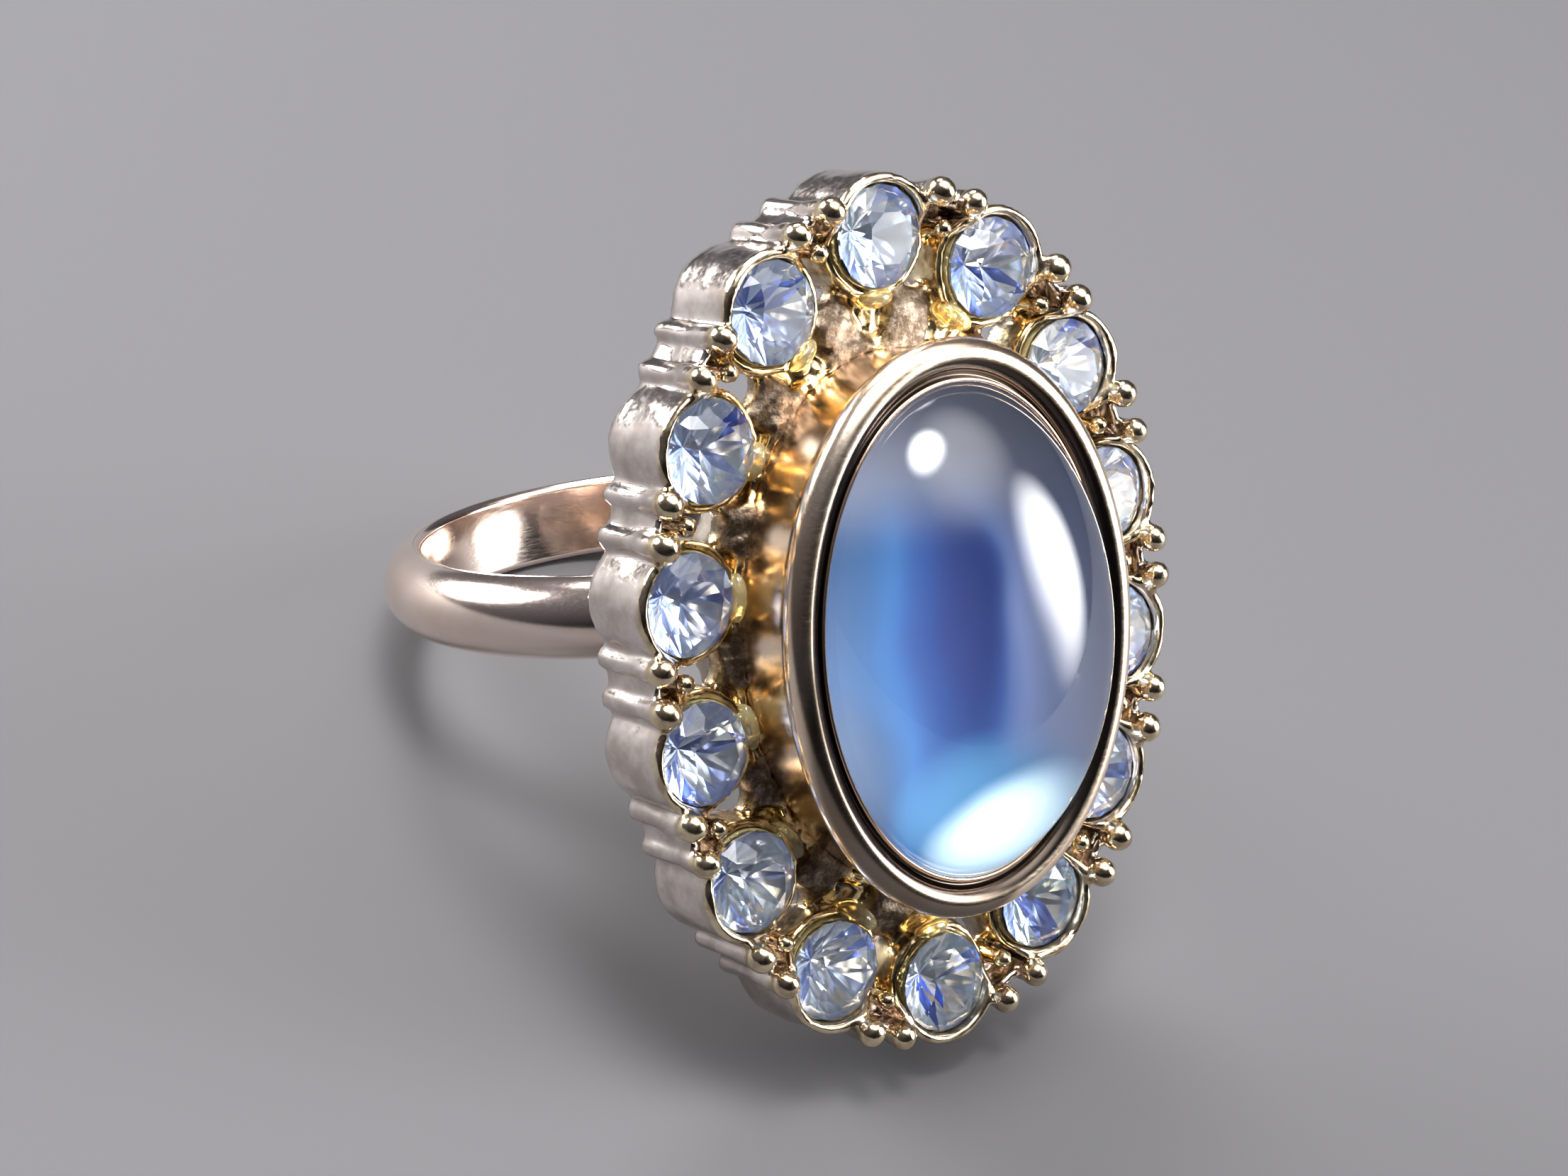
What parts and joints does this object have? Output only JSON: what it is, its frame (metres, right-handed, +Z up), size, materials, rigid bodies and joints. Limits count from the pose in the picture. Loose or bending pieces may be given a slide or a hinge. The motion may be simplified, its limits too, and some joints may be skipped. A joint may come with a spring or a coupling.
{
  "type": "cocktail ring",
  "caption": "Finger ring with a plain half-round shank, a pierced oval halo of round faceted stones and a domed blue cabochon in a rolled bezel.",
  "frame": {"origin": "centre of the finger hole, midway through the band's width", "axes": "+Z up from the table with the ring at rest on the back of its band and the lower end of its halo; +X across the finger; the big stone faces -Y and leans back; the finger hole's axis lies in the YZ plane"},
  "size_m": [0.0228, 0.0316, 0.0284],
  "materials": {
    "shank_gold": "polished, pale rose-gold plate",
    "head_metal": "plated casting, bright on the ribs, beads and rims, with its fine cast skin and darker hollows",
    "bezel_gold": "polished, peach rose-gold plate",
    "cement": "yellowed clear cement",
    "foil": "bright blue-silver foil",
    "cabochon_glass": "polished blue glass dome",
    "chaton_glass": "faceted pale blue glass"
  },
  "bodies": {
    "root": {"shank": "shank_gold", "gallery_collar": "head_metal", "halo_casting": "head_metal", "centre_bezel": "bezel_gold", "cabochon_cement": "cement", "cabochon_foil": "foil", "cabochon": "cabochon_glass", "chaton_01": "chaton_glass", "chaton_02": "chaton_glass", "chaton_03": "chaton_glass", "chaton_04": "chaton_glass", "chaton_05": "chaton_glass", "chaton_06": "chaton_glass", "chaton_07": "chaton_glass", "chaton_08": "chaton_glass", "chaton_09": "chaton_glass", "chaton_10": "chaton_glass", "chaton_11": "chaton_glass", "chaton_12": "chaton_glass", "chaton_13": "chaton_glass", "chaton_14": "chaton_glass", "cup_cement_01": "cement", "cup_cement_02": "cement", "cup_cement_03": "cement", "cup_cement_04": "cement", "cup_cement_05": "cement", "cup_cement_06": "cement", "cup_cement_07": "cement", "cup_cement_08": "cement", "cup_cement_09": "cement", "cup_cement_10": "cement", "cup_cement_11": "cement", "cup_cement_12": "cement", "cup_cement_13": "cement", "cup_cement_14": "cement"}
  },
  "joints": []
}
